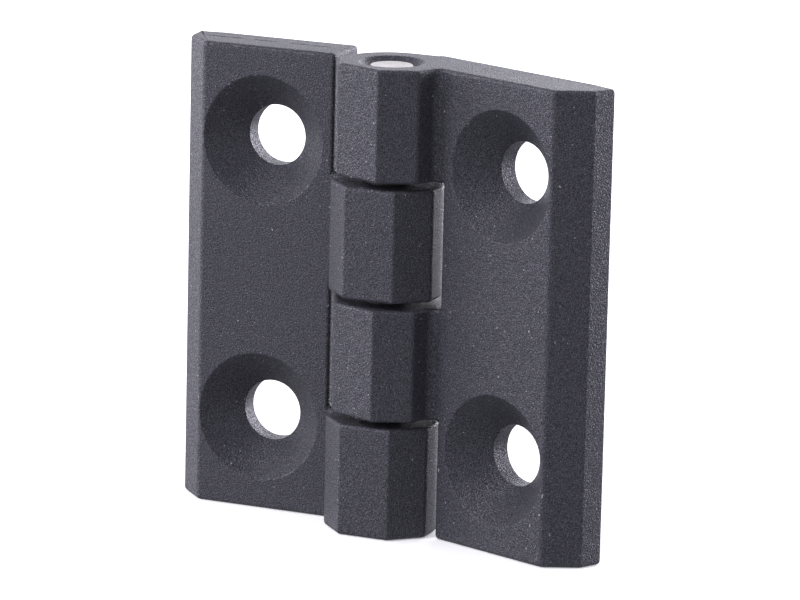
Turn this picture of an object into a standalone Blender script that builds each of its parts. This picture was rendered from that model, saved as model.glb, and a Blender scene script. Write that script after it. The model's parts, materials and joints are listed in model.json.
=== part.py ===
"""Door hinge: two identical die-cast leaves that turn on one steel pin.

The hinge stands upright with the pin along Z, and the countersunk fronts of the leaves face -Y.
The origin is on the back (mounting) face of the frame leaf, halfway between its two screw holes.

A leaf is modelled once, lying along +X from the pin axis, with its back at +Y. The door leaf is that
casting folded a little towards the front. The frame leaf is the same casting turned end for end, so
the knuckles of the two leaves interleave.
"""

import math

import bmesh
import bpy
from mathutils import Matrix

MM = 0.001

# Leaf plate
HINGE_HEIGHT = 50 * MM
LEAF_REACH = 25 * MM  # from the pin axis to the outer edge
LEAF_THICKNESS = 5.75 * MM
OUTER_BEVEL = 2.95 * MM  # 45 degrees, along the outer front edge
END_WALL_REACH = 6.86 * MM  # from the pin axis to the walls beside the other leaf's knuckles

# Knuckles
AXIS_HEIGHT = 6.55 * MM  # pin axis above the back face
KNUCKLES_PER_LEAF = 2
KNUCKLE_GAP = 0.7 * MM
KNUCKLE_FRONT = 11.52 * MM  # front flat, above the back face
KNUCKLE_HALF_FLAT = 2.84 * MM
KNUCKLE_HALF_WIDTH = 5.87 * MM
ROOT_FILLET = 0.9 * MM  # between a knuckle's side and the front of its leaf
BACK_BLEND_ANGLE = math.radians(20)  # where the round back of a knuckle runs out into the flat back

# Screw holes, for M6 countersunk screws
SCREW_REACH = 15 * MM  # from the pin axis
SCREW_SPACING = 30 * MM  # along the pin
SCREW_BORE_RADIUS = 3.25 * MM
COUNTERSINK_RADIUS = 6.92 * MM  # 90 degree countersink, at the front face

# Pin
PIN_RADIUS = 2.5 * MM
PIN_CLEARANCE = 0.08 * MM  # radial
PIN_RECESS = 0.35 * MM  # each end of the pin, below the end of its knuckle
PIN_END_FLAT_RADIUS = 2.17 * MM
BORE_MOUTH_RADIUS = 3.45 * MM  # 45 degree mouth at the outer end of each leaf's end knuckle

# Pose
REST_FOLD = math.radians(20)  # the door leaf, forward of lying flat with the frame leaf

# Faceting
EDGE_RADIUS = 0.35 * MM
EDGE_STEPS = 1
SHARP_ANGLE = math.radians(30)
ROUND_FACETS = 48
FILLET_STEPS = 4
BACK_STEPS = 10
OVERCUT = 1 * MM  # how far a cutter runs past the surface it cuts

AXIS_PLACE = (SCREW_REACH, -AXIS_HEIGHT, 0)
KNUCKLE_PITCH = (HINGE_HEIGHT + KNUCKLE_GAP) / (2 * KNUCKLES_PER_LEAF)


def clear_scene():
    for thing in list(bpy.data.objects):
        bpy.data.objects.remove(thing)


def plain_material(name, colour, roughness, metallic):
    material = bpy.data.materials.new(name)
    material.use_nodes = True
    shader = material.node_tree.nodes["Principled BSDF"]
    shader.inputs["Base Color"].default_value = (*colour, 1)
    shader.inputs["Roughness"].default_value = roughness
    shader.inputs["Metallic"].default_value = metallic
    return material


def mesh_object(name, bm):
    """A new object from a bmesh, with its faces pointing out."""
    bmesh.ops.recalc_face_normals(bm, faces=bm.faces)
    mesh = bpy.data.meshes.new(name)
    bm.to_mesh(mesh)
    bm.free()
    made = bpy.data.objects.new(name, mesh)
    bpy.context.scene.collection.objects.link(made)
    return made


def arc(centre, radius, start, end, steps):
    """Points along an arc, both ends included. Angles are in radians, from +u towards +v."""
    turns = [start + (end - start) * step / steps for step in range(steps + 1)]
    return [(centre[0] + radius * math.cos(a), centre[1] + radius * math.sin(a)) for a in turns]


def leaf_outline():
    """The section of a leaf through one of its knuckles, as (u, v) points.

    u runs from the pin axis out along the leaf, and v from the back face towards the front.
    """
    facet_drop = KNUCKLE_HALF_WIDTH - KNUCKLE_HALF_FLAT
    side_top = KNUCKLE_FRONT - facet_drop
    plate = [
        (LEAF_REACH, 0),
        (LEAF_REACH, LEAF_THICKNESS - OUTER_BEVEL),
        (LEAF_REACH - OUTER_BEVEL, LEAF_THICKNESS),
    ]
    fillet_centre = (KNUCKLE_HALF_WIDTH + ROOT_FILLET, LEAF_THICKNESS + ROOT_FILLET)
    fillet = arc(fillet_centre, ROOT_FILLET, -math.pi / 2, -math.pi, FILLET_STEPS)
    knuckle = [
        (KNUCKLE_HALF_WIDTH, side_top),
        (KNUCKLE_HALF_FLAT, KNUCKLE_FRONT),
        (-KNUCKLE_HALF_FLAT, KNUCKLE_FRONT),
        (-KNUCKLE_HALF_WIDTH, side_top),
    ]
    back_end = 1.5 * math.pi - BACK_BLEND_ANGLE
    round_back = arc((0, AXIS_HEIGHT), KNUCKLE_HALF_WIDTH, math.pi, back_end, BACK_STEPS)
    # The round back leaves on its tangent, which slopes down to the flat back.
    last_u, last_v = round_back[-1]
    meets_back = (last_u + last_v / math.tan(BACK_BLEND_ANGLE), 0)
    return plate + fillet + knuckle + round_back + [meets_back]


def leaf_blank():
    """The leaf section drawn out to the height of the hinge, with no holes and no notches."""
    bm = bmesh.new()
    low = -HINGE_HEIGHT / 2
    corners = [bm.verts.new((u, AXIS_HEIGHT - v, low)) for u, v in leaf_outline()]
    section = bm.faces.new(corners)
    drawn = bmesh.ops.extrude_face_region(bm, geom=[section])
    raised = [item for item in drawn["geom"] if isinstance(item, bmesh.types.BMVert)]
    bmesh.ops.translate(bm, vec=(0, 0, HINGE_HEIGHT), verts=raised)
    return mesh_object("leaf_blank", bm)


def turned_solid(name, profile):
    """A solid turned about Z from (radius, height) points, whose first and last lie on the axis."""
    bm = bmesh.new()
    points = [bm.verts.new((radius, 0, height)) for radius, height in profile]
    edges = [bm.edges.new(pair) for pair in zip(points, points[1:])]
    bmesh.ops.spin(
        bm, geom=points + edges, cent=(0, 0, 0), axis=(0, 0, 1), angle=2 * math.pi, steps=ROUND_FACETS
    )
    bmesh.ops.remove_doubles(bm, verts=bm.verts, dist=0.001 * MM)
    return mesh_object(name, bm)


def box_cutter(name, low, high):
    bm = bmesh.new()
    size = [high[i] - low[i] for i in range(3)]
    centre = [(high[i] + low[i]) / 2 for i in range(3)]
    place = Matrix.Translation(centre) @ Matrix.Diagonal((*size, 1))
    bmesh.ops.create_cube(bm, size=1, matrix=place)
    return mesh_object(name, bm)


def notch_cutters():
    """One box for each knuckle of the other leaf, with the gap above and below it."""
    side = AXIS_HEIGHT + KNUCKLE_FRONT
    cutters = []
    for count in range(KNUCKLES_PER_LEAF):
        top = HINGE_HEIGHT / 2 + KNUCKLE_GAP - (2 * count + 1) * KNUCKLE_PITCH
        foot = top - KNUCKLE_PITCH - KNUCKLE_GAP
        if count == KNUCKLES_PER_LEAF - 1:
            foot -= OVERCUT
        low = (-2 * KNUCKLE_HALF_WIDTH, -side, foot)
        high = (END_WALL_REACH, side, top)
        cutters.append(box_cutter(f"notch_cutter_{count}", low, high))
    return cutters


def screw_hole_cutters():
    """Countersunk holes, opening at the front of the leaf."""
    front = AXIS_HEIGHT - LEAF_THICKNESS
    cone_end = front + COUNTERSINK_RADIUS - SCREW_BORE_RADIUS
    profile = [
        (0, front - OVERCUT),
        (COUNTERSINK_RADIUS + OVERCUT, front - OVERCUT),
        (SCREW_BORE_RADIUS, cone_end),
        (SCREW_BORE_RADIUS, AXIS_HEIGHT + OVERCUT),
        (0, AXIS_HEIGHT + OVERCUT),
    ]
    cutters = []
    for side in (-1, 1):
        cutter = turned_solid(f"screw_hole_cutter_{side}", profile)
        place = Matrix.Translation((SCREW_REACH, 0, side * SCREW_SPACING / 2))
        cutter.data.transform(place @ Matrix.Rotation(-math.pi / 2, 4, "X"))
        cutters.append(cutter)
    return cutters


def pin_bore_cutter():
    """The bore for the pin, with a mouth at the top, where the leaf's end knuckle is."""
    end = HINGE_HEIGHT / 2
    radius = PIN_RADIUS + PIN_CLEARANCE
    profile = [
        (0, -end - OVERCUT),
        (radius, -end - OVERCUT),
        (radius, end - (BORE_MOUTH_RADIUS - radius)),
        (BORE_MOUTH_RADIUS + OVERCUT, end + OVERCUT),
        (0, end + OVERCUT),
    ]
    return turned_solid("pin_bore_cutter", profile)


def leaf_mesh():
    """One finished leaf: the blank less its notches and holes, with its edges rounded."""
    blank = leaf_blank()
    cutters = notch_cutters() + screw_hole_cutters() + [pin_bore_cutter()]
    for cutter in cutters:
        cutter.hide_render = True
        cutter.display_type = "WIRE"
        cut = blank.modifiers.new(cutter.name, "BOOLEAN")
        cut.operation = "DIFFERENCE"
        cut.solver = "EXACT"
        cut.object = cutter
    edges = blank.modifiers.new("rounded_edges", "BEVEL")
    edges.width = EDGE_RADIUS
    edges.segments = EDGE_STEPS
    edges.limit_method = "ANGLE"
    edges.angle_limit = SHARP_ANGLE
    finished = bpy.data.meshes.new_from_object(
        blank.evaluated_get(bpy.context.evaluated_depsgraph_get())
    )
    for helper in [blank] + cutters:
        bpy.data.objects.remove(helper)
    return finished


def add_leaf(name, mesh, rotation):
    mesh.name = name
    leaf = bpy.data.objects.new(name, mesh)
    leaf.location = AXIS_PLACE
    leaf.rotation_euler = rotation
    bpy.context.scene.collection.objects.link(leaf)
    return leaf


def add_pin():
    """A plain pin with a chamfer at each end."""
    end = HINGE_HEIGHT / 2 - PIN_RECESS
    chamfer = PIN_RADIUS - PIN_END_FLAT_RADIUS
    profile = [
        (0, -end),
        (PIN_END_FLAT_RADIUS, -end),
        (PIN_RADIUS, -end + chamfer),
        (PIN_RADIUS, end - chamfer),
        (PIN_END_FLAT_RADIUS, end),
        (0, end),
    ]
    pin = turned_solid("hinge_pin", profile)
    pin.location = AXIS_PLACE
    return pin


def shade(thing, material):
    thing.data.materials.clear()
    thing.data.materials.append(material)
    thing.data.shade_smooth()
    thing.data.set_sharp_from_angle(angle=SHARP_ANGLE)


def main():
    clear_scene()
    casting = leaf_mesh()
    frame_leaf = add_leaf("frame_leaf", casting, (0, math.pi, 0))
    door_leaf = add_leaf("door_leaf", casting.copy(), (0, 0, -REST_FOLD))
    hinge_pin = add_pin()
    shade(frame_leaf, plain_material("frame_leaf_coat", (0.05, 0.05, 0.056), 0.6, 0))
    shade(door_leaf, plain_material("door_leaf_coat", (0.05, 0.05, 0.056), 0.6, 0))
    shade(hinge_pin, plain_material("hinge_pin_steel", (0.72, 0.71, 0.69), 0.35, 1))


main()
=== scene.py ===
"""The looks of the door hinge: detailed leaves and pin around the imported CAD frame.

Everything is in metres, in the frame's axes: +Z along the pin, fronts towards -Y. A leaf is
modelled once in the casting's own axes (+X out along the leaf, +Y out of its back, Z along the pin,
origin on the pin axis), and each leaf is a copy of that mesh put where its CAD solid is.
"""

import json
import math

import bmesh
import bpy
from mathutils import Matrix, Vector


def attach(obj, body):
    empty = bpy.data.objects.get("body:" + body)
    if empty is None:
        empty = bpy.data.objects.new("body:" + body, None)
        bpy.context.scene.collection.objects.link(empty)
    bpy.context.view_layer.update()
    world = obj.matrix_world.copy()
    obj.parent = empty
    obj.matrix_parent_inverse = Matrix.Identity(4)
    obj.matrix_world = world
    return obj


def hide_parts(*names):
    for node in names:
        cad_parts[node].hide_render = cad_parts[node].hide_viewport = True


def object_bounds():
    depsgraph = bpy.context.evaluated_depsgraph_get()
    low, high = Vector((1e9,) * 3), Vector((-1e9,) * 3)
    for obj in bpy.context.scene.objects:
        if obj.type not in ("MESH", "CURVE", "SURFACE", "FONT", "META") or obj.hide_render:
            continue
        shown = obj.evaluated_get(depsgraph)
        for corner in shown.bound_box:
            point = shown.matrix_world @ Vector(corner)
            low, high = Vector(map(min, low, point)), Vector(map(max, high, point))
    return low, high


MM = 0.001

# Leaf plate, as in the CAD
HINGE_HEIGHT = 50 * MM
LEAF_REACH = 25 * MM
LEAF_THICKNESS = 5.75 * MM
OUTER_BEVEL = 2.95 * MM
END_WALL_REACH = 6.86 * MM

# Knuckles, as in the CAD
AXIS_HEIGHT = 6.55 * MM
KNUCKLES_PER_LEAF = 2
KNUCKLE_GAP = 0.7 * MM
KNUCKLE_FRONT = 11.52 * MM
KNUCKLE_HALF_FLAT = 2.84 * MM
KNUCKLE_HALF_WIDTH = 5.87 * MM
ROOT_FILLET = 0.9 * MM
BACK_BLEND_ANGLE = math.radians(20)
KNUCKLE_PITCH = (HINGE_HEIGHT + KNUCKLE_GAP) / (2 * KNUCKLES_PER_LEAF)

# Screw holes and pin, as in the CAD
SCREW_REACH = 15 * MM
SCREW_SPACING = 30 * MM
SCREW_BORE_RADIUS = 3.25 * MM
COUNTERSINK_RADIUS = 6.92 * MM
PIN_RADIUS = 2.5 * MM
PIN_CLEARANCE = 0.08 * MM
PIN_RECESS = 0.35 * MM
PIN_END = HINGE_HEIGHT / 2 - PIN_RECESS
PIN_END_FLAT_RADIUS = 2.17 * MM
PIN_FACED_DEPTH = 0.02 * MM  # of the bare steel at each end
BORE_MOUTH_RADIUS = 3.45 * MM

# Roundings that the CAD leaves out
CORNER_RADIUS = 0.45 * MM  # the long corners of the section, unless named below
KNUCKLE_SIDE_RADIUS = 0.8 * MM
BEVEL_FRONT_RADIUS = 0.85 * MM
OUTER_BACK_RADIUS = 0.3 * MM
BACK_BLEND_RADIUS = 1.35 * MM  # where the round back of a knuckle runs into the flat back
RIM_RADIUS = 0.44 * MM  # where the section's outline meets an end face or a notch
HOLE_EASE = 0.07 * MM  # depth of the eased rim of a hole
SIDE_DRAFT = 0.34 * MM  # how much further out a leaf reaches at its back than at its bevel

# Mesh fineness
CORNER_STEPS = 5
BACK_STEPS = 24
RIM_STEPS = 3
ROUND_FACETS = 128
SHARP_ANGLE = math.radians(30)
OVERCUT = 1 * MM
TOUCHING = 0.001 * MM
IN_PLANE = 0.01 * MM

# Trim marks on one end face of each casting: (start, end) out from the pin axis
TRIM_MARKS = ((8.9, 11.6), (11.3, 13.7), (15.0, 17.8), (18.8, 20.6), (20.1, 23.4))
TRIM_MARK_HEIGHT = 2.35 * MM  # above the back face
TRIM_MARK_STAGGER = 0.06 * MM
TRIM_MARK_WIDTH = 0.26 * MM
TRIM_MARK_DEPTH = 0.24 * MM

# Camera, at the photograph's angle
VIEW_AZIMUTH = math.radians(23.665)
VIEW_ELEVATION = math.radians(12.783)
VIEW_ROLL = math.radians(-1.344)
VIEW_DISTANCE = 561.0 * MM
VIEW_AIM_RIGHT = 1.41 * MM  # of the middle of the pin, in the picture
VIEW_AIM_DOWN = 0.366 * MM
VIEW_LENS_MM = 241.2
VIEW_SENSOR_MM = 36
VIEW_NEAR = 0.01
VIEW_FAR = 20

# Stage
FLOOR_SIZE = 8
FLOOR_GAP = 0.02 * MM
BACKGROUND_STRENGTH = 1.05

# Light: even surroundings, and (name, azimuth, elevation, watts, size) of the soft boxes, which
# stand all round except at the front right. Azimuth 0 is straight in front, 90 to its right.
LIGHT_TINT = (0.985, 0.975, 1.055)
SURROUND_STRENGTH = 0.58
SOFTBOX_DISTANCE = 600 * MM
SOFTBOXES = (
    ("front_left", -45, 10, 1.5, 0.42),
    ("left", -90, 10, 2.5, 0.42),
    ("back_left", -135, 10, 1.1, 0.42),
    ("back", 180, 10, 3.1, 0.42),
    ("back_right", 135, 10, 4.4, 0.42),
    ("high_left", -35, 48, 1.5, 0.16),
)


# ---------------------------------------------------------------- mesh helpers


def mesh_object(name, bm):
    """A new object from a bmesh, with its faces pointing out."""
    bmesh.ops.recalc_face_normals(bm, faces=bm.faces)
    mesh = bpy.data.meshes.new(name)
    bm.to_mesh(mesh)
    bm.free()
    made = bpy.data.objects.new(name, mesh)
    bpy.context.scene.collection.objects.link(made)
    return made


def arc(centre, radius, start, end, steps):
    """Points along an arc, both ends included. Angles are in radians, from +u to +v."""
    turns = [start + (end - start) * step / steps for step in range(steps + 1)]
    return [(centre[0] + radius * math.cos(a), centre[1] + radius * math.sin(a)) for a in turns]


def round_corners(corners):
    """Turns (u, v, radius) corners of a closed outline into (u, v) points, with arcs."""
    points = []
    for index, (u, v, radius) in enumerate(corners):
        if radius == 0:
            points.append((u, v))
            continue
        here = Vector((u, v))
        before = (Vector(corners[index - 1][:2]) - here).normalized()
        after = (Vector(corners[(index + 1) % len(corners)][:2]) - here).normalized()
        half = before.angle(after) / 2
        centre = here + (before + after).normalized() * radius / math.sin(half)
        start = here + before * radius / math.tan(half) - centre
        end = here + after * radius / math.tan(half) - centre
        first = math.atan2(start.y, start.x)
        sweep = end.angle_signed(start)
        points += arc(centre, radius, first, first + sweep, CORNER_STEPS)
    return points


def turned_solid(name, profile):
    """A solid turned about Z from (radius, height) points, whose first and last lie on the axis."""
    bm = bmesh.new()
    points = [bm.verts.new((radius, 0, height)) for radius, height in profile]
    edges = [bm.edges.new(pair) for pair in zip(points, points[1:])]
    bmesh.ops.spin(
        bm,
        geom=points + edges,
        cent=(0, 0, 0),
        axis=(0, 0, 1),
        angle=2 * math.pi,
        steps=ROUND_FACETS,
    )
    bmesh.ops.remove_doubles(bm, verts=bm.verts, dist=TOUCHING)
    return mesh_object(name, bm)


def box_cutter(name, low, high):
    bm = bmesh.new()
    size = [high[i] - low[i] for i in range(3)]
    centre = [(high[i] + low[i]) / 2 for i in range(3)]
    place = Matrix.Translation(centre) @ Matrix.Diagonal((*size, 1))
    bmesh.ops.create_cube(bm, size=1, matrix=place)
    return mesh_object(name, bm)


def evaluated_mesh(thing):
    """A new mesh: that of an object with its modifiers applied."""
    graph = bpy.context.evaluated_depsgraph_get()
    return bpy.data.meshes.new_from_object(thing.evaluated_get(graph))


def swapped(thing, mesh):
    """An object with a new mesh and no modifiers, in place of another."""
    name = thing.name
    bpy.data.objects.remove(thing)
    made = bpy.data.objects.new(name, mesh)
    bpy.context.scene.collection.objects.link(made)
    return made


def cut(blank, cutters):
    """A blank with the cutters' shapes taken out of it. The cutters are removed."""
    for cutter in cutters:
        step = blank.modifiers.new(cutter.name, "BOOLEAN")
        step.operation = "DIFFERENCE"
        step.solver = "EXACT"
        step.object = cutter
    made = swapped(blank, evaluated_mesh(blank))
    for cutter in cutters:
        bpy.data.objects.remove(cutter)
    return made


# ---------------------------------------------------------------- leaf casting


def leaf_outline():
    """The section through a knuckle as (u, v) points: u out from the pin, v up from the back."""
    side_top = KNUCKLE_FRONT - (KNUCKLE_HALF_WIDTH - KNUCKLE_HALF_FLAT)
    corners = [
        (LEAF_REACH + SIDE_DRAFT, 0, OUTER_BACK_RADIUS),
        (LEAF_REACH, LEAF_THICKNESS - OUTER_BEVEL, CORNER_RADIUS),
        (LEAF_REACH - OUTER_BEVEL, LEAF_THICKNESS, BEVEL_FRONT_RADIUS),
        (KNUCKLE_HALF_WIDTH, LEAF_THICKNESS, ROOT_FILLET),
        (KNUCKLE_HALF_WIDTH, side_top, KNUCKLE_SIDE_RADIUS),
        (KNUCKLE_HALF_FLAT, KNUCKLE_FRONT, CORNER_RADIUS),
        (-KNUCKLE_HALF_FLAT, KNUCKLE_FRONT, CORNER_RADIUS),
        (-KNUCKLE_HALF_WIDTH, side_top, KNUCKLE_SIDE_RADIUS),
    ]
    back_end = 1.5 * math.pi - BACK_BLEND_ANGLE
    round_back = arc((0, AXIS_HEIGHT), KNUCKLE_HALF_WIDTH, math.pi, back_end, BACK_STEPS)
    last_u, last_v = round_back[-1]
    meets_back = (last_u + last_v / math.tan(BACK_BLEND_ANGLE), 0)
    corners += [(u, v, 0) for u, v in round_back]
    corners.append((*meets_back, BACK_BLEND_RADIUS))
    return round_corners(corners)


def leaf_blank():
    """A full-height leaf, before its notches and holes."""
    bm = bmesh.new()
    low = -HINGE_HEIGHT / 2
    ring = [bm.verts.new((u, AXIS_HEIGHT - v, low)) for u, v in leaf_outline()]
    section = bm.faces.new(ring)
    drawn = bmesh.ops.extrude_face_region(bm, geom=[section])
    raised = [item for item in drawn["geom"] if isinstance(item, bmesh.types.BMVert)]
    bmesh.ops.translate(bm, vec=(0, 0, HINGE_HEIGHT), verts=raised)
    return mesh_object("leaf_blank", bm)


def notch_cutters():
    """Boxes that leave a knuckle at the top of a casting and at every second place below."""
    side = AXIS_HEIGHT + KNUCKLE_FRONT
    cutters = []
    for count in range(KNUCKLES_PER_LEAF):
        top = HINGE_HEIGHT / 2 + KNUCKLE_GAP - (2 * count + 1) * KNUCKLE_PITCH
        foot = top - KNUCKLE_PITCH - KNUCKLE_GAP
        if count == KNUCKLES_PER_LEAF - 1:
            foot -= OVERCUT
        low = (-2 * KNUCKLE_HALF_WIDTH, -side, foot)
        high = (END_WALL_REACH, side, top)
        cutters.append(box_cutter(f"notch_cutter_{count}", low, high))
    return cutters


def eased_mouth(radius):
    """(radius, depth) points of a 45-degree countersink's rim, eased by two facets.

    They run from above the face inwards. The facets slope at 15 and 30 degrees.
    """
    shallow, steep = math.tan(math.radians(15)), math.tan(math.radians(30))
    knee_depth = HOLE_EASE * (1 - 0.75 * steep)
    knee_radius = radius - 0.25 * HOLE_EASE
    rim = knee_radius + knee_depth / shallow
    return [
        (rim + 2 * OVERCUT, -OVERCUT),
        (rim + OVERCUT, -shallow * OVERCUT),
        (knee_radius, knee_depth),
        (radius - HOLE_EASE, HOLE_EASE),
    ]


def screw_hole_cutters():
    front = AXIS_HEIGHT - LEAF_THICKNESS
    cone_end = front + COUNTERSINK_RADIUS - SCREW_BORE_RADIUS
    profile = [(0, front - OVERCUT)]
    profile += [(radius, front + depth) for radius, depth in eased_mouth(COUNTERSINK_RADIUS)]
    profile += [
        (SCREW_BORE_RADIUS, cone_end),
        (SCREW_BORE_RADIUS, AXIS_HEIGHT + OVERCUT),
        (0, AXIS_HEIGHT + OVERCUT),
    ]
    cutters = []
    for side in (-1, 1):
        cutter = turned_solid(f"screw_hole_cutter_{side}", profile)
        place = Matrix.Translation((SCREW_REACH, 0, side * SCREW_SPACING / 2))
        cutter.data.transform(place @ Matrix.Rotation(-math.pi / 2, 4, "X"))
        cutters.append(cutter)
    return cutters


def pin_bore_cutter():
    end = HINGE_HEIGHT / 2
    radius = PIN_RADIUS + PIN_CLEARANCE
    profile = [(0, -end - OVERCUT), (radius, -end - OVERCUT)]
    profile.append((radius, end - (BORE_MOUTH_RADIUS - radius)))
    profile += [(out, end - depth) for out, depth in reversed(eased_mouth(BORE_MOUTH_RADIUS))]
    profile.append((0, end + OVERCUT))
    return turned_solid("pin_bore_cutter", profile)


def trim_mark_cutters():
    """Long thin ellipsoids that leave shallow tapered grooves in the lower end face."""
    cutters = []
    for count, (start, end) in enumerate(TRIM_MARKS):
        bm = bmesh.new()
        bmesh.ops.create_icosphere(bm, subdivisions=3, radius=1)
        made = mesh_object(f"trim_mark_cutter_{count}", bm)
        back_from_axis = AXIS_HEIGHT - TRIM_MARK_HEIGHT + TRIM_MARK_STAGGER * (count % 2)
        centre = ((start + end) / 2 * MM, back_from_axis, -HINGE_HEIGHT / 2)
        half = ((end - start) / 2 * MM, TRIM_MARK_WIDTH / 2, TRIM_MARK_DEPTH)
        made.data.transform(Matrix.Translation(centre) @ Matrix.Diagonal((*half, 1)))
        cutters.append(made)
    return cutters


def in_back(edge):
    """Whether an edge lies in the flat back."""
    return min(vertex.co.y for vertex in edge.verts) > AXIS_HEIGHT - IN_PLANE


def round_sharp_edges(thing):
    """An object with its sharp edges rounded, except those of its flat back."""
    bm = bmesh.new()
    bm.from_mesh(thing.data)
    weights = bm.edges.layers.float.new("bevel_weight_edge")
    for edge in bm.edges:
        if edge.is_manifold and edge.calc_face_angle() > SHARP_ANGLE and not in_back(edge):
            edge[weights] = 1
    bm.to_mesh(thing.data)
    bm.free()
    rounding = thing.modifiers.new("rounded_edges", "BEVEL")
    rounding.width = RIM_RADIUS
    rounding.segments = RIM_STEPS
    rounding.limit_method = "WEIGHT"
    rounding.use_clamp_overlap = False
    return swapped(thing, evaluated_mesh(thing))


def leaf_casting_mesh():
    """One finished leaf casting, in its own axes."""
    leaf = round_sharp_edges(cut(leaf_blank(), notch_cutters()))
    leaf = cut(leaf, screw_hole_cutters() + [pin_bore_cutter()] + trim_mark_cutters())
    leaf.data.shade_smooth()
    leaf.data.set_sharp_from_angle(angle=SHARP_ANGLE)
    flat = leaf.modifiers.new("flat_faces_stay_flat", "WEIGHTED_NORMAL")
    flat.keep_sharp = True
    mesh = evaluated_mesh(leaf)
    bpy.data.objects.remove(leaf)
    return mesh


# ---------------------------------------------------------------- materials


class Shader:
    """A node material under construction, with short ways to add the nodes that it uses."""

    def __init__(self, name):
        self.material = bpy.data.materials.new(name)
        self.material.use_nodes = True
        self.tree = self.material.node_tree
        self.surface = self.tree.nodes["Principled BSDF"]
        self.place = self.tree.nodes.new("ShaderNodeTexCoord").outputs["Object"]

    def link(self, output, socket):
        self.tree.links.new(output, socket)

    def noise(self, scale, detail=2.0, roughness=0.5):
        node = self.tree.nodes.new("ShaderNodeTexNoise")
        node.inputs["Scale"].default_value = scale
        node.inputs["Detail"].default_value = detail
        node.inputs["Roughness"].default_value = roughness
        self.link(self.place, node.inputs["Vector"])
        return node.outputs["Fac"]

    def cells(self, scale, smoothness):
        node = self.tree.nodes.new("ShaderNodeTexVoronoi")
        node.feature = "SMOOTH_F1"
        node.inputs["Scale"].default_value = scale
        node.inputs["Smoothness"].default_value = smoothness
        self.link(self.place, node.inputs["Vector"])
        return node.outputs["Distance"]

    def math(self, operation, first, second):
        node = self.tree.nodes.new("ShaderNodeMath")
        node.operation = operation
        for socket, value in zip(node.inputs, (first, second)):
            if isinstance(value, (int, float)):
                socket.default_value = value
            else:
                self.link(value, socket)
        return node.outputs["Value"]

    def ramp(self, fac, stops):
        node = self.tree.nodes.new("ShaderNodeValToRGB")
        while len(node.color_ramp.elements) < len(stops):
            node.color_ramp.elements.new(0.5)
        for element, (position, colour) in zip(node.color_ramp.elements, stops):
            element.position = position
            element.color = (*colour, 1)
        self.link(fac, node.inputs["Fac"])
        return node.outputs["Color"]

    def bump(self, height, distance):
        node = self.tree.nodes.new("ShaderNodeBump")
        node.inputs["Distance"].default_value = distance
        self.link(height, node.inputs["Height"])
        return node.outputs["Normal"]


def powder_coat():
    """Black fine-texture powder coat: grains of 0.1 to 0.2 mm, a few of which glint, and painted
    highlights: bright specks in its colour that stand in for glinting grains.
    """
    coat = Shader("black_powder_coat")
    grains = coat.cells(5200, smoothness=0.6)
    fine = coat.noise(9000, detail=2, roughness=0.6)
    height = coat.math("SUBTRACT", coat.math("MULTIPLY", fine, 0.9), grains)
    # Painted highlights: a few specks are lifted by 0.4 towards the lightest stops of the colour
    # ramp below. They stand in for grains that catch the light.
    painted_glint_specks = coat.math("GREATER_THAN", coat.noise(2600, detail=1), 0.765)
    colour = coat.ramp(
        coat.math("ADD", fine, coat.math("MULTIPLY", painted_glint_specks, 0.4)),
        [
            (0.3, (0.012, 0.012, 0.014)),
            (0.5, (0.03, 0.03, 0.037)),
            (0.62, (0.055, 0.055, 0.066)),
            (0.75, (0.13, 0.13, 0.15)),
            (0.95, (0.3, 0.3, 0.33)),
        ],
    )
    coat.link(colour, coat.surface.inputs["Base Color"])
    facing = coat.noise(8000, detail=1)
    glints = [
        (0.3, (0.05, 0.05, 0.05)),
        (0.5, (0.4, 0.4, 0.4)),
        (0.6, (0.75, 0.75, 0.75)),
        (0.72, (1, 1, 1)),
    ]
    coat.link(coat.ramp(facing, glints), coat.surface.inputs["Specular IOR Level"])
    rough = [(0.5, (0.56, 0.56, 0.56)), (0.66, (0.36, 0.36, 0.36))]
    coat.link(coat.ramp(facing, rough), coat.surface.inputs["Roughness"])
    coat.link(coat.bump(height, 0.05 * MM), coat.surface.inputs["Normal"])
    coat.surface.inputs["Specular Tint"].default_value = (0.9, 0.88, 1, 1)
    return coat.material


def pin_steel():
    """Bare stainless steel on the faced ends, with coat and grease over the rest."""
    steel = Shader("stainless_pin_steel")
    apart = steel.tree.nodes.new("ShaderNodeSeparateXYZ")
    steel.link(steel.place, apart.inputs["Vector"])
    up = steel.math("ABSOLUTE", apart.outputs["Z"], 0)
    faced = steel.math("GREATER_THAN", up, PIN_END - PIN_FACED_DEPTH)
    marks = steel.math("ADD", steel.math("MULTIPLY", steel.noise(900), 0.4), 0.6)
    tone = steel.ramp(
        steel.math("MULTIPLY", faced, marks),
        [
            (0.0, (0.02, 0.02, 0.022)),
            (0.7, (0.42, 0.405, 0.39)),
            (0.9, (0.52, 0.505, 0.48)),
        ],
    )
    steel.link(tone, steel.surface.inputs["Base Color"])
    steel.link(faced, steel.surface.inputs["Metallic"])
    rough = [(0.3, (0.3, 0.3, 0.3)), (0.7, (0.42, 0.42, 0.42))]
    steel.link(steel.ramp(steel.noise(2500), rough), steel.surface.inputs["Roughness"])
    return steel.material


# ---------------------------------------------------------------- pieces


def door_leaf_turn():
    """How the door leaf's casting is turned at rest, from its CAD mount's outward normal."""
    mounts = {mount["name"]: mount for mount in frame["record"]["mounts"]}
    normal = Vector(mounts["door_leaf_back"]["axis"])
    return Matrix.Rotation(-math.atan2(normal.x, normal.y), 4, "Z")


def add_leaf(name, node, body, mesh, place, coat):
    mesh.name = name
    mesh.transform(place)
    leaf = bpy.data.objects.new(name, mesh)
    bpy.context.scene.collection.objects.link(leaf)
    leaf.data.materials.clear()
    leaf.data.materials.append(coat)
    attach(leaf, body)
    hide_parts(node)


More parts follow.
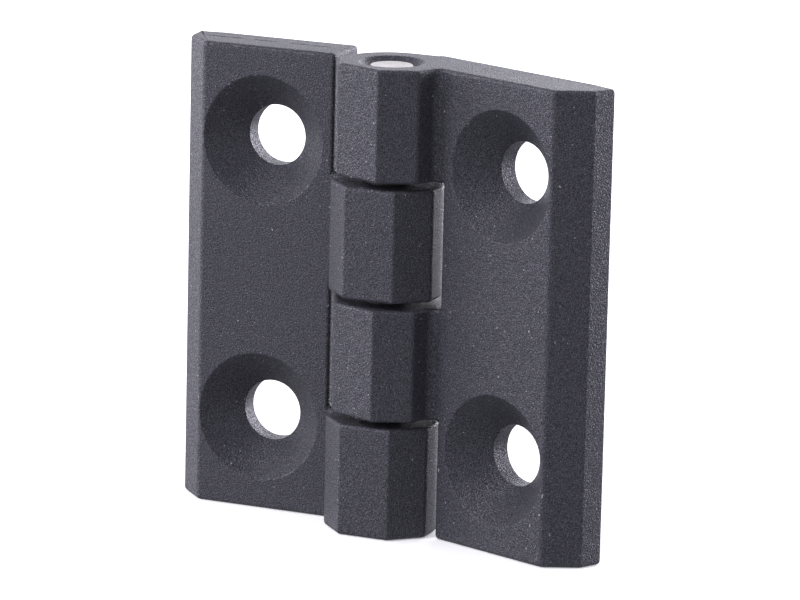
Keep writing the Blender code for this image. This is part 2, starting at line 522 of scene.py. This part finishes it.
def add_pin(body, place, steel):
    chamfer = PIN_RADIUS - PIN_END_FLAT_RADIUS
    half = [(PIN_RADIUS, PIN_END - chamfer), (PIN_END_FLAT_RADIUS, PIN_END), (0, PIN_END)]
    profile = [(radius, -height) for radius, height in reversed(half)] + half
    pin = turned_solid("hinge_pin_steel", profile)
    pin.data.transform(place)
    pin.data.materials.append(steel)
    pin.data.shade_smooth()
    pin.data.set_sharp_from_angle(angle=SHARP_ANGLE)
    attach(pin, body)
    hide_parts("hinge_pin")


# ---------------------------------------------------------------- stage


def add_floor(low):
    bm = bmesh.new()
    place = Matrix.Translation((0, 0, low - FLOOR_GAP))
    bmesh.ops.create_grid(bm, x_segments=1, y_segments=1, size=FLOOR_SIZE / 2, matrix=place)
    floor = mesh_object("pale_floor", bm)
    floor.visible_diffuse = False
    floor.visible_glossy = False
    floor.visible_shadow = False
    paint = Shader("pale_floor_paint")
    paint.surface.inputs["Base Color"].default_value = (0.93, 0.93, 0.93, 1)
    paint.surface.inputs["Roughness"].default_value = 0.9
    paint.surface.inputs["Specular IOR Level"].default_value = 0.1
    paint.surface.inputs["Emission Color"].default_value = (1, 1, 1, 1)
    paint.surface.inputs["Emission Strength"].default_value = 0.3
    floor.data.materials.append(paint.material)


def add_world():
    """Dim even surroundings that look white where nothing stands in front of them."""
    world = bpy.data.worlds.new("studio")
    bpy.context.scene.world = world
    world.use_nodes = True
    tree = world.node_tree
    seen = tree.nodes.new("ShaderNodeLightPath").outputs["Is Camera Ray"]
    pick = tree.nodes.new("ShaderNodeMix")
    pick.data_type = "FLOAT"
    tree.links.new(seen, pick.inputs["Factor"])
    pick.inputs["A"].default_value = SURROUND_STRENGTH
    pick.inputs["B"].default_value = BACKGROUND_STRENGTH
    tree.links.new(pick.outputs["Result"], tree.nodes["Background"].inputs["Strength"])
    tree.nodes["Background"].inputs["Color"].default_value = (*LIGHT_TINT, 1)


def add_softbox(name, azimuth, elevation, power, size, aim):
    """A square soft light that faces the hinge."""
    data = bpy.data.lights.new(name, "AREA")
    data.size = size
    data.energy = power
    data.color = LIGHT_TINT
    lamp = bpy.data.objects.new(name, data)
    a, e = math.radians(azimuth), math.radians(elevation)
    out = Vector((math.sin(a) * math.cos(e), -math.cos(a) * math.cos(e), math.sin(e)))
    turned = out.to_track_quat("Z", "Y").to_matrix().to_4x4()
    lamp.matrix_world = Matrix.Translation(aim + out * SOFTBOX_DISTANCE) @ turned
    lamp.visible_camera = False
    bpy.context.scene.collection.objects.link(lamp)


def add_camera(aim_at):
    """The camera looks down on the hinge from its front right."""
    a, e, r = VIEW_AZIMUTH, VIEW_ELEVATION, VIEW_ROLL
    ahead = Vector((-math.sin(a) * math.cos(e), math.cos(a) * math.cos(e), -math.sin(e)))
    right = Vector((math.cos(a), math.sin(a), 0))
    down = ahead.cross(right)
    right, down = (
        math.cos(r) * right + math.sin(r) * down,
        math.cos(r) * down - math.sin(r) * right,
    )
    target = aim_at + VIEW_AIM_RIGHT * right + VIEW_AIM_DOWN * down
    turned = Matrix((right, -down, -ahead)).transposed().to_4x4()
    data = bpy.data.cameras.new("camera")
    data.sensor_width = VIEW_SENSOR_MM
    data.lens = VIEW_LENS_MM
    data.clip_start = VIEW_NEAR
    data.clip_end = VIEW_FAR
    camera = bpy.data.objects.new("camera", data)
    camera.matrix_world = Matrix.Translation(target - ahead * VIEW_DISTANCE) @ turned
    bpy.context.scene.collection.objects.link(camera)
    bpy.context.scene.camera = camera


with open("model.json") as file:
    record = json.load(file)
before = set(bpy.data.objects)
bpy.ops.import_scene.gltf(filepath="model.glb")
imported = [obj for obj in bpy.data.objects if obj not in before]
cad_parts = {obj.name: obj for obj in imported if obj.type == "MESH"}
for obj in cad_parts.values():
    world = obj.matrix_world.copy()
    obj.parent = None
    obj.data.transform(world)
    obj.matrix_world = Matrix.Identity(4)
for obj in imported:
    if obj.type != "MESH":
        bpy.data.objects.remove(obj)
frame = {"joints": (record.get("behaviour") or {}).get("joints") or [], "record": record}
cad_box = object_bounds()
pin_middle = Vector(frame["joints"][0]["pos_m"])
pin_place = Matrix.Translation(pin_middle)

coat = powder_coat()
casting = leaf_casting_mesh()
frame_place = pin_place @ Matrix.Rotation(math.pi, 4, "Y")
door_place = pin_place @ door_leaf_turn()
add_leaf("frame_leaf_casting", "frame_leaf", "frame_side", casting.copy(), frame_place, coat)
add_leaf("door_leaf_casting", "door_leaf", "door_side", casting, door_place, coat)
add_pin("frame_side", pin_place, pin_steel())

add_floor(cad_box[0][2])
add_world()
for softbox in SOFTBOXES:
    add_softbox(*softbox, pin_middle)
add_camera(pin_middle)
bpy.context.scene.view_settings.view_transform = "Standard"
